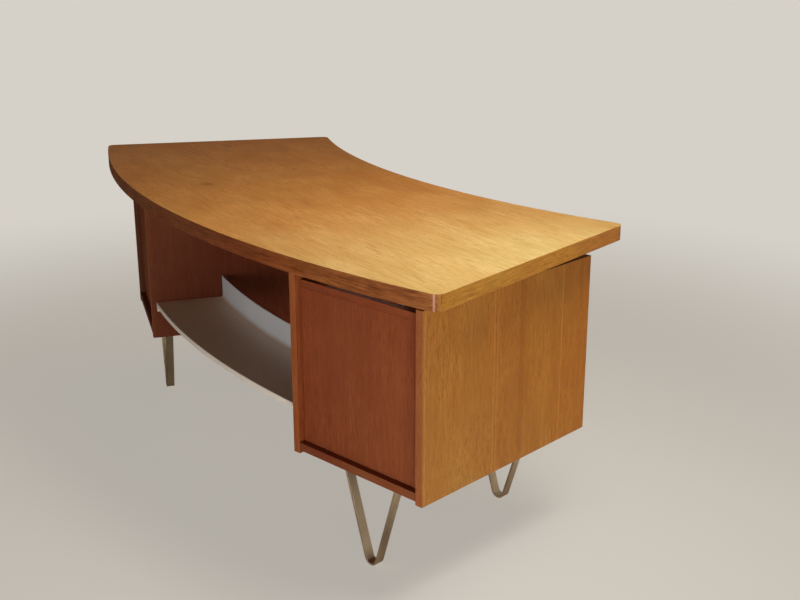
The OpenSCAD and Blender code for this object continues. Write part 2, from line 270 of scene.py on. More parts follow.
def arc_radius(nodes, x, y):
    """Distance from the centre of the desk's arcs."""
    return nodes.length(nodes.join(x, nodes.math("SUBTRACT", y, ARC_Y), 0.0))


def arc_grain(shader):
    """Grain that follows the arcs, as on a bent lipping."""
    x, y, z = shader.split(shader.position())
    radius = arc_radius(shader, x, y)
    angle = shader.math("ARCTAN2", x, shader.math("SUBTRACT", ARC_Y, y))
    return shader.join(z, radius, shader.math("MULTIPLY", angle, FRONT_R))


def end_grain(shader):
    """Grain along the straight ends of the top."""
    x, y, z = shader.split(shader.position())
    reach = shader.math("ABSOLUTE", x)
    along = shader.total((reach, END_ALONG.x), (y, END_ALONG.y))
    out = shader.total((reach, END_OUT.x), (y, END_OUT.y))
    return shader.join(z, out, along)


# Kinds of wood

# A look has the colours of its dark, middle and light streaks and of its pores, and the tints of its
# golden and reddish patches. Contrast is that of the streaks. Fine and short raise the number of streaks
# across the grain and along it. Cloud, band and line are their shares of the figure. Rough and sheen are
# those of the lacquer.
Look = namedtuple(
    "Look", "dark mid light pore golden reddish contrast fine short cloud band line rough sheen")

TOP_LOOK = Look(
    dark=(174, 136, 74), mid=(199, 170, 106), light=(219, 196, 139), pore=(124, 86, 46),
    golden=(255, 255, 250), reddish=(252, 240, 224),
    contrast=0.9, fine=1.3, short=1.0, cloud=0.26, band=0.06, line=0.14, rough=0.46, sheen=0.28)

SIDE_LOOK = Look(
    dark=(160, 104, 48), mid=(185, 128, 60), light=(205, 152, 79), pore=(108, 64, 32),
    golden=(255, 255, 244), reddish=(250, 234, 222),
    contrast=0.72, fine=0.9, short=2.2, cloud=0.22, band=0.12, line=0.14, rough=0.46, sheen=0.22)

PANEL_LOOK = Look(
    dark=(132, 70, 43), mid=(147, 84, 53), light=(163, 97, 63), pore=(90, 44, 28),
    golden=(255, 255, 250), reddish=(244, 226, 216),
    contrast=0.7, fine=0.9, short=1.8, cloud=0.20, band=0.16, line=0.12, rough=0.50, sheen=0.10)

FLOOR_LOOK = PANEL_LOOK._replace(dark=(122, 68, 41), mid=(136, 81, 51), light=(152, 96, 61))

INNER_LOOK = PANEL_LOOK._replace(
    dark=(138, 77, 43), mid=(155, 93, 53), light=(171, 108, 63), pore=(94, 50, 31), sheen=0.12)

LIPPING_LOOK = Look(
    dark=(141, 95, 36), mid=(172, 124, 49), light=(196, 150, 63), pore=(84, 46, 18),
    golden=(255, 255, 244), reddish=(250, 232, 218),
    contrast=0.9, fine=1.4, short=2.0, cloud=0.12, band=0.05, line=0.14, rough=0.46, sheen=0.22)

FRONT_LOOK = Look(
    dark=(116, 68, 40), mid=(150, 94, 56), light=(176, 117, 74), pore=(66, 36, 20),
    golden=(255, 252, 246), reddish=(240, 216, 204),
    contrast=1.15, fine=1.2, short=1.3, cloud=0.24, band=0.10, line=0.12, rough=0.36, sheen=0.16)

CORE_LOOK = Look(
    dark=(107, 85, 64), mid=(122, 97, 74), light=(137, 111, 87), pore=(80, 58, 40),
    golden=(255, 255, 250), reddish=(250, 240, 230),
    contrast=0.9, fine=1.0, short=1.0, cloud=0.10, band=0.16, line=0.10, rough=0.66, sheen=0.20)

BOX_LOOK = Look(
    dark=(196, 160, 112), mid=(214, 180, 134), light=(228, 198, 154), pore=(160, 118, 74),
    golden=(255, 255, 250), reddish=(250, 240, 232),
    contrast=0.9, fine=1.0, short=1.0, cloud=0.12, band=0.20, line=0.16, rough=0.56, sheen=0.30)

KNOB_LOOK = Look(
    dark=(120, 66, 34), mid=(148, 86, 46), light=(172, 106, 60), pore=(84, 42, 22),
    golden=(255, 255, 250), reddish=(246, 226, 216),
    contrast=1.2, fine=1.2, short=1.2, cloud=0.10, band=0.10, line=0.16, rough=0.38, sheen=0.45)


# Figure of wood

# Way in which a board's figure is shifted: across, through and along the grain
SHIFT_WAY = (1, 0.7, 1.9)
# Width of the band in which a fibre wanders to its sides
WANDER = 0.010
# Next leaf of veneer: how far its figure is shifted, and how much lighter it is
LEAF_SHIFT = 0.31
LEAF_SHADE = 0.02
# Share of the streaks in what clouds, bands and lines leave of the figure; fibres have the rest
STREAK_SHARE = 0.6
# Half the spread of brightness that runs from dark to light streaks, at a contrast of 1
STREAK_REACH = 0.14
# Noise that makes a dark or a light fleck and the change of brightness by each, and clouds with flecks
DARK_FLECK = (0.58, 0.66)
DARK_CHANGE = -0.13
LIGHT_FLECK = (0.42, 0.35)
LIGHT_CHANGE = 0.07
FLECKED_CLOUD = (0.40, 0.58)
# Noise that makes a pore, and how dark it is
PORE_FADE = (0.60, 0.72)
PORE_STRENGTH = 0.35
# How much a streak, a fibre or a pore roughens the lacquer, and the depth of the grain in it
ROUGHENING = 0.12
GRAIN_DEPTH = 0.00012
# Joints between leaves of veneer along the top
TOP_SEAMS = (-0.162,)

# Thin lines along the grain, light joints and dark streaks: place across it, half width and change of
# brightness, which is whole over the core of the line
Mark = namedtuple("Mark", "at half change")
MARK_CORE = 0.4
OUTER_MARKS = (
    Mark(0.007, 0.004, 0.12),
    Mark(0.232, 0.0022, 0.18),
    Mark(0.243, 0.0018, 0.14),
    Mark(0.330, 0.012, -0.08),
    Mark(0.480, 0.0022, 0.16),
)
INNER_MARKS = (
    Mark(0.007, 0.004, 0.12),
    Mark(0.229, 0.0022, 0.22),
)


def mark_lines(shader, place, marks):
    """Change of brightness by all the marks across the grain."""
    across = shader.split(place)[0]
    lines = []
    for mark in marks:
        gap = shader.math("ABSOLUTE", shader.math("SUBTRACT", across, mark.at))
        lines.append((shader.fade(gap, mark.half, mark.half * MARK_CORE), mark.change))
    return shader.total(*lines)


def seams_passed(shader, place, seams):
    """Number of seams behind a place along the grain."""
    along = shader.split(place)[2]
    passed = [(shader.math("GREATER_THAN", along, seam), 1.0) for seam in seams]
    return shader.total(*passed)


def wavering(shader, place):
    """Place whose fibres wander a little to the sides."""
    wander = shader.about_zero(shader.drawn_out(place, 4, 2.4, 1.0), WANDER)
    return shader.vector("ADD", place, shader.join(wander, wander, 0.0))


def flecks(shader, look, fibre_at, cloud):
    """Change of brightness by dark dashes and a few light ones, in the lighter clouds."""
    dash = shader.drawn_out(fibre_at, 340 * look.fine, 22 * look.short, 1.0)
    dark, light = shader.fade(dash, *DARK_FLECK), shader.fade(dash, *LIGHT_FLECK)
    change = shader.total((dark, DARK_CHANGE), (light, LIGHT_CHANGE))
    return shader.math("MULTIPLY", change, shader.fade(cloud, *FLECKED_CLOUD))


def streak_colour(shader, look, value, place):
    """Colour of streaks of a brightness, under large golden and reddish patches."""
    reach = STREAK_REACH / look.contrast
    colour = shader.ramp(value, [(0.5 - reach, look.dark), (0.5, look.mid), (0.5 + reach, look.light)])
    patch = shader.drawn_out(place, 6, 2.6)
    return shader.tinted(colour, shader.ramp(patch, [(0.34, look.golden), (0.66, look.reddish)]))


def figure(shader, look, grain, shift=0.0, marks=(), seams=(), stain=None):
    """Colour, roughness and height of wood, whose figure is drawn out along the grain.

    Shift gives each board its own figure. Leaves of veneer meet at the seams, which are places along
    the grain. A tint for each place can add painted light and shade, and knots.
    """
    place = grain(shader)
    leaf = seams_passed(shader, place, seams)
    moved = shader.vector("ADD", place, [shift * part for part in SHIFT_WAY])
    moved = shader.vector("ADD", moved, shader.join(shader.math("MULTIPLY", leaf, LEAF_SHIFT), 0.0, 0.0))
    fibre_at = wavering(shader, moved)
    fine, short = look.fine, look.short
    cloud = shader.drawn_out(moved, 11, 6, 3.0)
    band = shader.drawn_out(fibre_at, 40, 0.9)
    line = shader.drawn_out(fibre_at, 330 * fine, 5 * short, 1.0)
    streak = shader.drawn_out(fibre_at, 190 * fine, 11 * short, 2.0, 0.6)
    fibre = shader.drawn_out(fibre_at, 560 * fine, 34 * short, 2.0, 0.6)
    pore = shader.fade(shader.drawn_out(fibre_at, 1500, 70, 1.0), *PORE_FADE)
    rest = 1 - look.cloud - look.band - look.line
    value = shader.total(
        (cloud, look.cloud), (band, look.band), (line, look.line),
        (streak, rest * STREAK_SHARE), (fibre, rest * (1 - STREAK_SHARE)),
        (leaf, LEAF_SHADE), (flecks(shader, look, fibre_at, cloud), 1.0))
    if marks:
        value = shader.math("ADD", value, mark_lines(shader, place, marks))
    colour = streak_colour(shader, look, value, moved)
    # Tint of painted light and shade, and of knots where there are any
    if stain:
        colour = shader.tinted(colour, stain(shader))
    colour = shader.blend(shader.math("MULTIPLY", pore, PORE_STRENGTH), colour, look.pore)
    rough = shader.total(
        (streak, ROUGHENING), (fibre, ROUGHENING), (pore, ROUGHENING), (1.0, look.rough - ROUGHENING))
    height = shader.total((fibre, 0.5), (pore, -1.0), (streak, 0.3))
    return colour, rough, height


def lacquered(shader, look, colour, rough, height):
    """Finish a shader of wood with the look's lacquer."""
    shader.set("Base Color", colour)
    shader.set("Roughness", rough)
    shader.set("Specular IOR Level", look.sheen)
    shader.bump(height, GRAIN_DEPTH)
    return shader


def wood(name, look, grain, shift=0.0, marks=(), seams=(), stain=None):
    """Lacquered wood of one look."""
    shader = Shader(name)
    return lacquered(shader, look, *figure(shader, look, grain, shift, marks, seams, stain))


# Painted light on the top and its lippings, and knots in the top

# Painted light on the top from its left end to its right end: darker and more orange where the light
# falls off to the left, paler where it is strongest at the right. Also how far both places are from its
# middle, and how far the bounds of its tints drift to and fro
TOP_PAINTED_LIGHT = [
    (0.0, (255, 216, 205)),
    (0.4, (255, 212, 172)),
    (0.64, (255, 214, 177)),
    (0.76, (251, 221, 198)),
    (0.96, (249, 249, 249)),
]
TOP_PAINTED_LIGHT_X = 1.1
TOP_PAINTED_LIGHT_DRIFT = 0.16

# Knots in the top veneer, and how ragged their outlines are in half widths
Knot = namedtuple("Knot", "x y half_x half_y strength")
KNOTS = (
    Knot(-0.220, -0.222, 0.040, 0.026, 0.60),
    Knot(-0.275, 0.076, 0.024, 0.014, 0.35),
    Knot(-0.745, 0.070, 0.050, 0.014, 0.40),
)
KNOT_TINT = (166, 108, 84)
KNOT_RAGGED = 1.8

# Painted light on the curved lippings from left to right: a pale painted sheen at the left end, painted
# shade, darker and redder, right of the middle, and golden light at the right end; and the range of x
# that the tints cover
ARC_PAINTED_LIGHT = [
    (0.16, WHITE),
    (0.26, (237, 246, 255)),
    (0.36, (223, 227, 234)),
    (0.75, (218, 202, 202)),
    (0.90, (242, 231, 212)),
    (1.0, (255, 255, 232)),
]
ARC_PAINTED_LIGHT_X = (-1.0, 0.9)

# Painted shade on the end lippings: darker and more golden away from the front corner; and the
# distances where it starts and is whole
END_PAINTED_LIGHT = [(0.0, WHITE), (1.0, (255, 236, 203))]
END_PAINTED_LIGHT_FROM = 0.05
END_PAINTED_LIGHT_TO = 0.55

# Height of the veneer's edge on the lippings, and shifts of the curved and the end lippings' figure
VENEER_EDGE = 0.0009
ARC_SHIFT = 1.3
END_SHIFT = 2.1

# Dark joint of the front lipping, in distances along the end: where it is past the rounding's centre,
# the fade to golden wood before it, the fade of its own sides, and its fade under the writing surface
JOINT_PAST_CENTRE = -0.0085
GOLDEN_FADE = (-0.007, 0.001)
JOINT_FADE = (0.0014, 0.0004)
JOINT_DEPTH = (0.024, 0.018)
JOINT_DARK = (70, 38, 18)
JOINT_STRENGTH = 0.6

# Painted highlight, a pale line down the rounding: its place on it, the fade of its sides and that of its
# lower end, where it is weakest
HIGHLIGHT_ANGLE = math.radians(-50)
HIGHLIGHT_FADE = (0.0032, 0.0014)
HIGHLIGHT_DEPTH = (0.036, 0.004)
PAINTED_HIGHLIGHT = (226, 180, 160)
HIGHLIGHT_WEAKEST = 0.40
HIGHLIGHT_GAIN = 0.25


def near_top(shader, z, low, high):
    """0 at the depth low under the writing surface, 1 at the depth high and smooth between."""
    return shader.fade(z, TOP_Z - low, TOP_Z - high)


def knot_tint(shader, x, y, ragged, tint, knot):
    """Tint with one knot over it, whose outline is ragged."""
    off_x = shader.total((x, 1 / knot.half_x), (1.0, -knot.x / knot.half_x))
    off_y = shader.total((y, 1 / knot.half_y), (1.0, -knot.y / knot.half_y))
    gap = shader.math("ADD", shader.length(shader.join(off_x, off_y, 0.0)), ragged)
    share = shader.math("MULTIPLY", shader.fade(gap, 1.0, 0.0), knot.strength)
    return shader.blend(share, tint, KNOT_TINT)


def top_painted_light_and_knots(shader):
    """Painted light on the top, paler to the right and darker to the left, with three small knots."""
    place = shader.position()
    x, y = shader.split(place)[:2]
    ragged = shader.about_zero(shader.noise(place, (60, 110, 60), 3.0), KNOT_RAGGED)
    drift = shader.about_zero(shader.noise(place, (5, 8, 5), 2.0), TOP_PAINTED_LIGHT_DRIFT)
    rightwards = shader.fade(shader.math("ADD", x, drift), -TOP_PAINTED_LIGHT_X, TOP_PAINTED_LIGHT_X)
    tint = shader.ramp(rightwards, TOP_PAINTED_LIGHT)
    for knot in KNOTS:
        tint = knot_tint(shader, x, y, ragged, tint, knot)
    return tint


def arc_painted_light(shader):
    """Painted light on a curved lipping: sheen left of its middle, redder shade right of it, golden right
    end.
    """
    x = shader.split(shader.position())[0]
    return shader.ramp(shader.fade(x, *ARC_PAINTED_LIGHT_X), ARC_PAINTED_LIGHT)


def end_painted_light(shader):
    """Painted shade on an end lipping: darker and more golden away from the front corner."""
    along = shader.split(end_grain(shader))[2]
    start = FRONT_CORNER.dot(END_ALONG)
    return shader.ramp(shader.fade(along, start + END_PAINTED_LIGHT_FROM, start + END_PAINTED_LIGHT_TO), END_PAINTED_LIGHT)


def golden_turn(shader, colour, past, corner):
    """Wood that turns into that of the end lipping round a front corner."""
    golden = figure(shader, LIPPING_LOOK, end_grain, END_SHIFT, stain=end_painted_light)[0]
    turned = shader.math("MULTIPLY", shader.fade(past, *GOLDEN_FADE), corner)
    return shader.blend(turned, colour, golden)


def dark_joint(shader, colour, past, corner, z):
    """Short dark joint in the upper half of a front corner."""
    line = shader.fade(shader.math("ABSOLUTE", past), *JOINT_FADE)
    upper = near_top(shader, z, *JOINT_DEPTH)
    return shader.blend(shader.product(line, upper, corner, JOINT_STRENGTH), colour, JOINT_DARK)


def painted_highlight_line(shader, colour, centre, side, y, z):
    """Painted highlight, a pale line down the rounding of a front corner, strongest at its top."""
    at = centre + Vector((math.cos(HIGHLIGHT_ANGLE), math.sin(HIGHLIGHT_ANGLE))) * CORNER_R
    gap = shader.vector("DISTANCE", shader.join(side, y, 0.0), (at.x, at.y, 0))
    strength = shader.total((near_top(shader, z, *HIGHLIGHT_DEPTH), HIGHLIGHT_GAIN), (1.0, HIGHLIGHT_WEAKEST))
    line = shader.fade(gap, *HIGHLIGHT_FADE)
    return shader.blend(shader.math("MULTIPLY", line, strength), colour, PAINTED_HIGHLIGHT)


def corner_joint_and_highlight(shader, colour):
    """Wood that turns golden round a front corner, past a painted highlight line, up to a short dark
    joint.
    """
    centre = corner_centre(FRONT_R - CORNER_R)
    x, y, z = shader.split(shader.position())
    side = shader.math("ABSOLUTE", x)
    joint_at = centre.dot(END_ALONG) + JOINT_PAST_CENTRE
    past = shader.total((side, END_ALONG.x), (y, END_ALONG.y), (1.0, -joint_at))
    corner = shader.fade(side, centre.x - CORNER_R * 2, centre.x - CORNER_R)
    colour = golden_turn(shader, colour, past, corner)
    colour = dark_joint(shader, colour, past, corner, z)
    return painted_highlight_line(shader, colour, centre, side, y, z)


def lipping(name, look, grain, shift, stain, wraps_corner=False):
    """Solid lipping whose top is hidden by the veneer, which runs to the arris.

    One that wraps the corners turns there into the end lipping.
    """
    shader = Shader(name)
    colour, rough, bumps = figure(shader, look, grain, shift, stain=stain)
    if wraps_corner:
        colour = corner_joint_and_highlight(shader, colour)
    veneer = figure(shader, TOP_LOOK, top_grain, seams=TOP_SEAMS, stain=top_painted_light_and_knots)[0]
    z = shader.split(shader.position())[2]
    covered = near_top(shader, z, VENEER_EDGE, VENEER_EDGE * 0.7)
    return lacquered(shader, look, shader.blend(covered, colour, veneer), rough, bumps)


# Painted light and shade on the pedestals

# Painted light and shade on a side panel: outer face from front to rear, front edge, and the face inside
# the pedestal, darkened as painted shade
Side = namedtuple("Side", "face_front face_rear edge inside")
OUTER_PAINTED_LIGHT = Side(WHITE, (239, 228, 200), (222, 204, 255), (172, 162, 255))
INNER_PAINTED_SHADE = Side((204, 186, 208), (224, 204, 236), WHITE, (238, 222, 240))
# Painted shade: a side panel a little darker low at its front
LOW_FRONT_PAINTED_SHADE = (234, 233, 236)

# Where the tints change: from front to rear, from low to high and, for what is low, from front to rear
FACE_FADE = (-0.05, 0.65)
HIGH_FADE = (0.30, 0.66)
REAR_FADE = (0.25, 0.50)
# How far the bounds of the tints drift to and fro
SIDE_DRIFT = 0.20
# Distances from the middle of a pedestal over which a side panel's inner face turns to its painted shade,
# and distances behind its front over which the painted tint of an edge ends
INSIDE_FADE = (SIDE_IN_X + 0.0008, SIDE_IN_X + 0.0002)
EDGE_FADE = (0.0016, 0.0006)


def on_front_edge(shader, y):
    """1 on the front edge of a pedestal's board and 0 behind it."""
    return shader.fade(y, *EDGE_FADE)


def side_painted_light(shader, side, tints):
    """Painted light and shade on a side panel: changes towards the rear, on its front edge and inside the
    pedestal.

    Low at the front it is a little darker, as painted shade.
    """
    x, y, z = shader.split(pedestal_place(shader, side))
    drift = shader.about_zero(shader.noise(shader.position(), (6, 6, 4), 2.0), SIDE_DRIFT)
    back = shader.math("ADD", y, drift)
    tint = shader.ramp(shader.fade(back, *FACE_FADE), [(0.0, tints.face_front), (1.0, tints.face_rear)])
    high_or_rear = shader.math("MAXIMUM", shader.fade(z, *HIGH_FADE), shader.fade(back, *REAR_FADE))
    tint = shader.tinted(tint, shader.ramp(high_or_rear, [(0.0, LOW_FRONT_PAINTED_SHADE), (1.0, WHITE)]))
    inside = shader.fade(shader.math("ABSOLUTE", x), *INSIDE_FADE)
    tint = shader.blend(inside, tint, tints.inside)
    return shader.blend(on_front_edge(shader, y), tint, tints.edge)


def outer_painted_light(shader, side):
    return side_painted_light(shader, side, OUTER_PAINTED_LIGHT)


def inner_painted_shade(shader, side):
    return side_painted_light(shader, side, INNER_PAINTED_SHADE)


def across_pedestal(shader, side, reach, inner, outer=WHITE):
    """Tint that changes across a pedestal, from the middle of the desk outwards."""
    x = shader.split(pedestal_place(shader, side))[0]
    return shader.ramp(shader.fade(x, *reach), [(0.0, inner), (1.0, outer)])


def panel_painted_shade(shader, side):
    """Painted shade on a visitor panel: a little darker and redder towards the middle of the desk."""
    return across_pedestal(shader, side, (-0.02, 0.17), (239, 232, 228))


def deck_painted_shade(shader, side):
    """Painted shade on a deck, the board over the drawers: darker and redder towards the middle of the
    desk.
    """
    return across_pedestal(shader, side, (-0.20, 0.20), (222, 207, 205), (254, 250, 250))


def floor_painted_light(shader, side):
    """Painted light and shade on a bottom board: front edge lighter, most of all outwards; darker behind.
    """
    y = shader.split(pedestal_place(shader, side))[1]
    edge = across_pedestal(shader, side, (-0.12, 0.05), (231, 208, 217))
    return shader.blend(on_front_edge(shader, y), (231, 199, 190), edge)


# Paint and metal

# Paint: of the rails and the shelf's upstand, with painted cool light on its clouds, of all that is lower
# than the shelf's face, and of the face
PAINT_CLOUDS_COOL_LIGHT = [(0.3, (207, 219, 229)), (0.7, (213, 225, 235))]
PAINT_LOW = (240, 236, 230)
# Painted warm light, bounced from the wood, on the shelf's upper face
PAINTED_WARM_BOUNCE = (238, 214, 190)
# Heights between which the painted warm light on the shelf's face begins, and between which it ends
FACE_BEGINS = (SHELF_Z - 0.0005, SHELF_Z - 0.0001)
FACE_ENDS = (SHELF_Z + 0.004, SHELF_Z + 0.001)
DUST = (168, 156, 138)
DUST_STRENGTH = 0.35
PEEL_DEPTH = 0.00006

# Metal: dull and bright patches of both kinds, and the depth of the brush lines
NICKEL = ((208, 188, 158), (238, 218, 190))
ZINC = ((150, 150, 146), (184, 184, 178))
BRUSH_DEPTH = 0.00004


def white_paint(name):
    """Satin white paint, faint orange peel and dust; painted cool light above, warm light on the shelf's
    face.
    """
    shader = Shader(name)
    place = shader.position()
    height = shader.split(place)[2]
    cloud = shader.noise(place, (5, 5, 5), 3.0)
    speck = shader.fade(shader.noise(place, (420, 420, 420), 1.0), 0.70, 0.78)
    low = shader.fade(height, *reversed(FACE_BEGINS))
    face = shader.math("MULTIPLY", shader.fade(height, *FACE_BEGINS), shader.fade(height, *FACE_ENDS))
    colour = shader.blend(low, shader.ramp(cloud, PAINT_CLOUDS_COOL_LIGHT), PAINT_LOW)
    colour = shader.blend(face, colour, PAINTED_WARM_BOUNCE)
    colour = shader.blend(shader.math("MULTIPLY", speck, DUST_STRENGTH), colour, DUST)
    shader.set("Base Color", colour)
    shader.set("Roughness", shader.total((cloud, 0.16), (1.0, 0.34)))
    shader.bump(shader.noise(place, (700, 700, 700), 2.0), PEEL_DEPTH)
    return shader


def brushed_steel(name, patches, side=1):
    """Satin plated steel with brush lines along the strip and dull patches."""
    shader = Shader(name)
    place = pedestal_place(shader, side)
    line = shader.noise(place, (1400, 1400, 22), 2.0)
    patch = shader.noise(place, (18, 18, 9), 3.0)
    dull, bright = patches
    shader.set("Base Color", shader.ramp(patch, [(0.3, dull), (0.7, bright)]))
    shader.set("Metallic", 1.0)
    shader.set("Roughness", shader.total((patch, 0.22), (line, 0.16), (1.0, 0.14)))
    shader.bump(line, BRUSH_DEPTH)
    return shader


# Eased arrises

SHARP_ANGLE = math.radians(35)
FLAT_ANGLE = math.radians(0.05)
WELD_GAP = 1e-5
OUTLINE_GAP = 0.0003
LONG_EDGE = 0.012
ARRIS_SEGMENTS = 3


def geometry_group(name):
    """A tree of geometry nodes, with the sockets where the geometry comes in and goes out."""
    group = bpy.data.node_groups.new(name, "GeometryNodeTree")
    for way in ("INPUT", "OUTPUT"):
        group.interface.new_socket("Geometry", in_out=way, socket_type="NodeSocketGeometry")
    nodes = Nodes(group)
    start = nodes.add("NodeGroupInput").outputs[0]
    end = nodes.add("NodeGroupOutput").inputs[0]
    return nodes, start, end


def smooth_group():
    """Geometry nodes that drop stored normals and shade smooth across shallow angles."""
    nodes, start, end = geometry_group("smooth_by_angle")
    bare = nodes.add("GeometryNodeRemoveAttribute")
    bare.inputs["Name"].default_value = "custom_normal"
    faces = nodes.add("GeometryNodeSetShadeSmooth", domain="FACE")
    edges = nodes.add("GeometryNodeSetShadeSmooth", domain="EDGE")
    angle = nodes.add("GeometryNodeInputMeshEdgeAngle").outputs[0]
    nodes.feed(bare.inputs["Geometry"], start)
    nodes.feed(faces.inputs["Geometry"], bare.outputs["Geometry"])
    nodes.feed(edges.inputs["Geometry"], faces.outputs["Geometry"])
    nodes.feed(edges.inputs["Shade Smooth"], nodes.math("LESS_THAN", angle, SHARP_ANGLE))
    nodes.feed(end, edges.outputs["Geometry"])
    return nodes.tree


def weight_group(name, edge_weight):
    """Geometry nodes that give each edge its weight for a bevel."""
    nodes, start, end = geometry_group(name)
    store = nodes.add("GeometryNodeStoreNamedAttribute", domain="EDGE", data_type="FLOAT")
    store.inputs["Name"].default_value = "bevel_weight_edge"
    nodes.feed(store.inputs["Value"], edge_weight(nodes))
    nodes.feed(store.inputs["Geometry"], start)
    nodes.feed(end, store.outputs["Geometry"])
    return nodes.tree


def on_outline(nodes):
    """1 for the level edges on the outer outline of the top."""
    x, y = nodes.split(nodes.add("GeometryNodeInputPosition").outputs[0])[:2]
    side = nodes.math("ABSOLUTE", x)
    radius = arc_radius(nodes, x, y)
    end_reach = nodes.total((side, END_OUT.x), (y, END_OUT.y))
    tests = [nodes.near(radius, FRONT_R, OUTLINE_GAP), nodes.near(radius, REAR_R, OUTLINE_GAP),
             nodes.near(end_reach, END_REACH, OUTLINE_GAP)]
    for centre in (corner_centre(FRONT_R - CORNER_R), corner_centre(REAR_R + CORNER_R)):
        gap = nodes.vector("DISTANCE", nodes.join(side, y, 0.0), (centre.x, centre.y, 0))
        tests.append(nodes.near(gap, CORNER_R, OUTLINE_GAP))
    ends = nodes.add("GeometryNodeInputMeshEdgeVertices").outputs
    first_z = nodes.split(ends["Position 1"])[2]
    second_z = nodes.split(ends["Position 2"])[2]
    level = nodes.near(first_z, second_z, OUTLINE_GAP)
    return nodes.math("MULTIPLY", nodes.total(*[(test, 1.0) for test in tests]), level, clamp=True)


def long_and_sharp(nodes):
    """1 for the long arrises of a drilled board, but not for the rims of its holes."""
    ends = nodes.add("GeometryNodeInputMeshEdgeVertices").outputs
    length = nodes.vector("DISTANCE", ends["Position 1"], ends["Position 2"])
    angle = nodes.add("GeometryNodeInputMeshEdgeAngle").outputs[0]
    return nodes.math("MULTIPLY", nodes.math("GREATER_THAN", length, LONG_EDGE),
                      nodes.math("GREATER_THAN", angle, SHARP_ANGLE))


SMOOTH = smooth_group()
OUTLINE = weight_group("outline_arrises", on_outline)
LONG_ARRISES = weight_group("long_arrises", long_and_sharp)


def ease(node, width, arrises):
    """Round the arrises of a CAD node by modifiers, all of them or those that a node group weights.

    The node's own mesh stays as it is.
    """
    node.modifiers.new("weld", "WELD").merge_threshold = WELD_GAP
    flat = node.modifiers.new("flat_faces", "DECIMATE")
    flat.decimate_type = "DISSOLVE"
    flat.angle_limit = FLAT_ANGLE
    if arrises:
        node.modifiers.new("arris_weights", "NODES").node_group = arrises
    if width:
        bevel = node.modifiers.new("arris", "BEVEL")
        bevel.width = width
        bevel.segments = ARRIS_SEGMENTS
        bevel.limit_method = "WEIGHT" if arrises else "ANGLE"
        bevel.angle_limit = SHARP_ANGLE
        bevel.loop_slide = arrises is not LONG_ARRISES
    node.modifiers.new("smooth", "NODES").node_group = SMOOTH
    node.modifiers.new("weighted_normals", "WEIGHTED_NORMAL").keep_sharp = True


def dress(name, shader, width=0, arrises=None):
    """Give a CAD node its material and its eased arrises, which stay sharp without a width."""
    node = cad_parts[name]
    for slot in node.material_slots:
        slot.material = shader.material
    ease(node, width, arrises)


# Pieces

# Boards of a pedestal: look, axes of the grain, width of the arris, shift of the figure, thin lines,
# painted light and shade, and whether the board has screw holes
Board = namedtuple("Board", "name look order width shift marks stain drilled")
BOARDS = (
    Board("side_outer", SIDE_LOOK, "yxz", 0.0015, 0.31, OUTER_MARKS, outer_painted_light, False),
    Board("side_inner", INNER_LOOK, "yxz", 0.0015, 0.77, INNER_MARKS, inner_painted_shade, True),
    Board("deck", PANEL_LOOK, "yzx", 0.0008, 1.21, (), deck_painted_shade, True),
    Board("floor", FLOOR_LOOK, "yzx", 0.0010, 1.63, (), floor_painted_light, True),
    Board("visitor_panel", PANEL_LOOK, "xyz", 0.0006, 2.09, (), panel_painted_shade, False),
)

# Drawers and the side they are on: 1 on the right and -1 on the left
DRAWERS = (("right_top", 1), ("right_middle", 1), ("right_low", 1), ("left_top", -1), ("left_deep", -1))
BOX_GRAIN = {"side_outer": "zxy", "side_inner": "zxy", "back": "zyx", "bottom": "yzx"}

# Widths of the other pieces' arrises
LIPPING_ARRIS = 0.0008
LEG_ARRIS = 0.0006
BOX_ARRIS = 0.0008
DRAWER_FRONT_ARRIS = 0.0012
KNOB_ARRIS = 0.0003
RAIL_ARRIS = 0.0010
RUNNER_ARRIS = 0.0006
SCREW_ARRIS = 0.0003


def dress_top():
    dress("desktop_core", wood("core_board", CORE_LOOK, top_grain))
    dress("top_veneer", wood("top_veneer", TOP_LOOK, top_grain, seams=TOP_SEAMS, stain=top_painted_light_and_knots))
    for name in ("lipping_front", "lipping_rear"):
        wraps_corner = name == "lipping_front"
        shader = lipping(name, FRONT_LOOK, arc_grain, ARC_SHIFT, arc_painted_light, wraps_corner)
        dress(name, shader, LIPPING_ARRIS, OUTLINE)
    for name in ("lipping_end_right", "lipping_end_left"):
        dress(name, lipping(name, LIPPING_LOOK, end_grain, END_SHIFT, end_painted_light), LIPPING_ARRIS, OUTLINE)


def dress_board(board, side, side_name):
    label = f"{board.name}_{side_name}"
    shader = wood(label, board.look, lambda s: pedestal_grain(s, side, board.order), board.shift * side,
                  board.marks, stain=lambda s: board.stain(s, side))
    dress(label, shader, board.width, LONG_ARRISES if board.drilled else None)


def dress_pedestal(side, side_name):
    """Carcass and legs of one pedestal."""
    for board in BOARDS:
        dress_board(board, side, side_name)
    for end in ("front", "rear"):
        label = f"leg_{end}_{side_name}"
        dress(label, brushed_steel(label, NICKEL, side), LEG_ARRIS)


def dress_drawer(name, side, shift):
    """Front, box and knob of one drawer."""
    for piece, order in BOX_GRAIN.items():
        label = f"{name}_{piece}"
        dress(label, wood(label, BOX_LOOK, lambda s: pedestal_grain(s, side, order), shift), BOX_ARRIS)
    label = f"{name}_front"
    shader = wood(label, SIDE_LOOK, lambda s: pedestal_grain(s, side, "zyx"), shift)
    dress(label, shader, DRAWER_FRONT_ARRIS)
    label = f"{name}_knob"
    dress(label, wood(label, KNOB_LOOK, knob_grain, shift), KNOB_ARRIS)


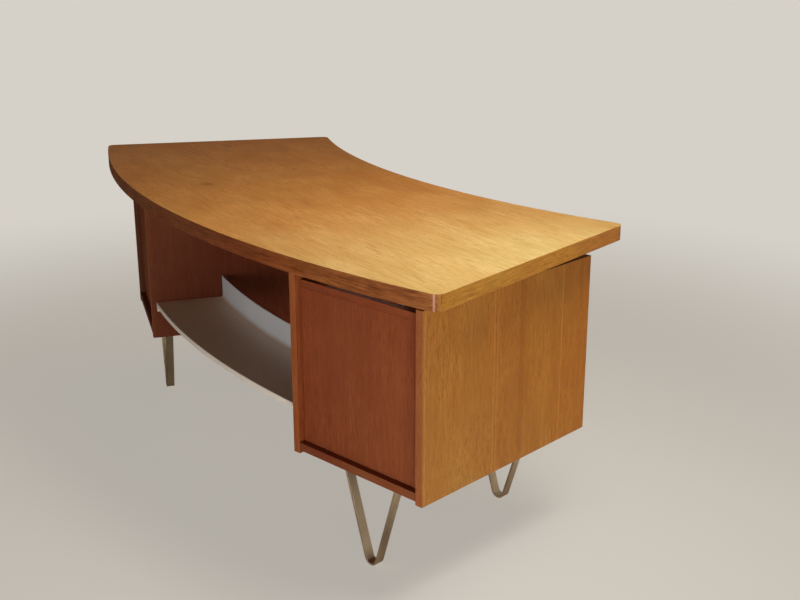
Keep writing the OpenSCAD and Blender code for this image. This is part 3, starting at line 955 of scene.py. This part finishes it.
def dress_fittings():
    dress("spacer_rails", white_paint("rail_paint"), RAIL_ARRIS, LONG_ARRISES)
    dress("shelf", white_paint("shelf_paint"))
    dress("runners", wood("runners", BOX_LOOK, runner_grain), RUNNER_ARRIS)
    for name in ("top_bolts", "leg_screws", "shelf_screws"):
        dress(name, brushed_steel(name, ZINC), SCREW_ARRIS)


# Room, light and camera

BACKDROP = (214, 209, 200)
CEILING = (100, 96, 91)
# Sines of the angles over the horizon where the backdrop starts to dim and where it is the ceiling
CEILING_FADE = (0.06, 0.34)
WORLD_RGB = (255, 250, 243)
WORLD_STRENGTH = 0.04

FLOOR_R = 40.0
FLOOR_POINTS = 64
FLOOR_CLOUDS = [(0.3, (198, 194, 186)), (0.7, (204, 200, 193))]
# Share of the backdrop in the floor near the desk, and the distances over which the share grows to 1
NEAR_GLOW = 0.6
GLOW_FADE = (1.2, 3.4)


def in_picture(nodes):
    """1 for rays that the camera sends, also through clear things, and 0 for all the others."""
    rays = nodes.add("ShaderNodeLightPath").outputs
    return nodes.math("ADD", rays["Is Camera Ray"], rays["Is Transmission Ray"])


def pale_when_seen(shader):
    """Lighten the floor where it is seen, wholly so far from the desk, without lighting the desk."""
    distance = shader.length(shader.position())
    share = shader.total((shader.fade(distance, *GLOW_FADE), 1 - NEAR_GLOW), (1.0, NEAR_GLOW))
    seen = shader.math("MULTIPLY", share, in_picture(shader), clamp=True)
    glow = shader.add("ShaderNodeEmission")
    glow.inputs["Color"].default_value = linear(BACKDROP)
    both = shader.mix(seen, shader.surface.outputs[0], glow.outputs[0])
    shader.feed(shader.output.inputs["Surface"], both)


def floor_paint():
    shader = Shader("floor_paint")
    cloud = shader.noise(shader.position(), (0.9, 0.9, 0.9), 4.0)
    shader.set("Base Color", shader.ramp(cloud, FLOOR_CLOUDS))
    shader.set("Roughness", 0.75)
    pale_when_seen(shader)
    return shader.material


def add_floor():
    """Plain pale floor, wide enough to fill every view."""
    angles = [math.tau * i / FLOOR_POINTS for i in range(FLOOR_POINTS)]
    points = [(FLOOR_R * math.cos(angle), FLOOR_R * math.sin(angle), 0) for angle in angles]
    mesh = bpy.data.meshes.new("floor")
    mesh.from_pydata(points, [], [range(FLOOR_POINTS)])
    mesh.materials.append(floor_paint())
    floor = bpy.data.objects.new("floor", mesh)
    bpy.context.scene.collection.objects.link(floor)


def add_world():
    """Faint light from all round.

    Where the world is seen, it is the same pale backdrop as the far floor, dimmer overhead. Where it is
    mirrored, it is as dim as the ceiling.
    """
    world = bpy.data.worlds.new("studio")
    world.use_nodes = True
    nodes = Nodes(world.node_tree)
    light = nodes.add("ShaderNodeBackground")
    light.inputs["Color"].default_value = linear(WORLD_RGB)
    light.inputs["Strength"].default_value = WORLD_STRENGTH
    height = nodes.split(nodes.add("ShaderNodeTexCoord").outputs["Generated"])[2]
    mirrored = nodes.add("ShaderNodeLightPath").outputs["Is Glossy Ray"]
    dim = nodes.math("MAXIMUM", nodes.fade(height, *CEILING_FADE), mirrored)
    backdrop = nodes.add("ShaderNodeBackground")
    nodes.feed(backdrop.inputs["Color"], nodes.blend(dim, BACKDROP, CEILING))
    seen = nodes.math("ADD", in_picture(nodes), mirrored, clamp=True)
    both = nodes.mix(seen, light.outputs[0], backdrop.outputs[0])
    nodes.feed(nodes.add("ShaderNodeOutputWorld").inputs["Surface"], both)
    bpy.context.scene.world = world


def add_lamp(name, at, target, size, power, rgb, spread, mirrored=True):
    """A soft lamp; one that is not mirrored leaves no glint on lacquer or metal."""
    data = bpy.data.lights.new(name, "AREA")
    data.spread = math.radians(spread)
    data.shape = "RECTANGLE"
    data.size, data.size_y = size
    data.energy = power
    data.color = linear(rgb)[:3]
    lamp = bpy.data.objects.new(name, data)
    lamp.location = at
    lamp.visible_camera = False
    lamp.visible_glossy = mirrored
    lamp.rotation_euler = (Vector(target) - Vector(at)).to_track_quat("-Z", "Y").to_euler()
    bpy.context.scene.collection.objects.link(lamp)


def add_lamps():
    """A key lamp over the right end and wide, soft fills from above and from all four sides."""
    add_lamp("key", at=(1.20, 0.31, 2.20), target=(0.90, -0.08, 0.7), size=(0.8, 0.8),
             power=12, rgb=(255, 251, 244), spread=100)
    add_lamp("left_fill", at=(-0.4, 0.55, 2.40), target=(-0.25, 0.05, 0.7), size=(1.6, 1.6),
             power=10.6, rgb=(255, 210, 155), spread=180)
    add_lamp("front_fill", at=(1.3, -3.6, 0.50), target=(0.75, 0.0, 0.45), size=(2.0, 1.0),
             power=10, rgb=(255, 238, 228), spread=80)
    add_lamp("side_fill", at=(3.5, -0.7, 0.42), target=(0.8, 0.1, 0.5), size=(1.6, 0.6),
             power=38, rgb=(255, 248, 228), spread=180)
    add_lamp("far_side_fill", at=(-3.2, 1.9, 0.45), target=(-0.8, 0.1, 0.5), size=(1.6, 0.6),
             power=26, rgb=(255, 246, 234), spread=180, mirrored=False)
    add_lamp("back_fill", at=(0.2, 4.4, 0.85), target=(0.1, 0.0, 0.5), size=(3.0, 1.2),
             power=34, rgb=(255, 244, 230), spread=180)


def camera_turn():
    """Rotation of the camera from its yaw, pitch and roll."""
    sine, cosine = math.sin(CAMERA_YAW), math.cos(CAMERA_YAW)
    level = Vector((cosine, sine, 0))
    flat = math.cos(CAMERA_PITCH)
    ahead = Vector((-sine * flat, cosine * flat, -math.sin(CAMERA_PITCH)))
    above = level.cross(ahead)
    right = level * math.cos(CAMERA_ROLL) + above * math.sin(CAMERA_ROLL)
    up = above * math.cos(CAMERA_ROLL) - level * math.sin(CAMERA_ROLL)
    return Matrix((right, up, -ahead)).transposed()


def add_camera():
    data = bpy.data.cameras.new("camera")
    data.lens = CAMERA_LENS
    data.sensor_width = CAMERA_SENSOR
    data.sensor_fit = "HORIZONTAL"
    camera = bpy.data.objects.new("camera", data)
    camera.matrix_world = Matrix.Translation(CAMERA_AT) @ camera_turn().to_4x4()
    bpy.context.scene.collection.objects.link(camera)
    bpy.context.scene.camera = camera


dress_top()
dress_pedestal(1, "right")
dress_pedestal(-1, "left")
rng = random.Random(5)
for drawer, drawer_side in DRAWERS:
    dress_drawer(drawer, drawer_side, rng.uniform(3, 9))
dress_fittings()

add_floor()
add_world()
add_lamps()
add_camera()
bpy.context.scene.view_settings.view_transform = "Standard"
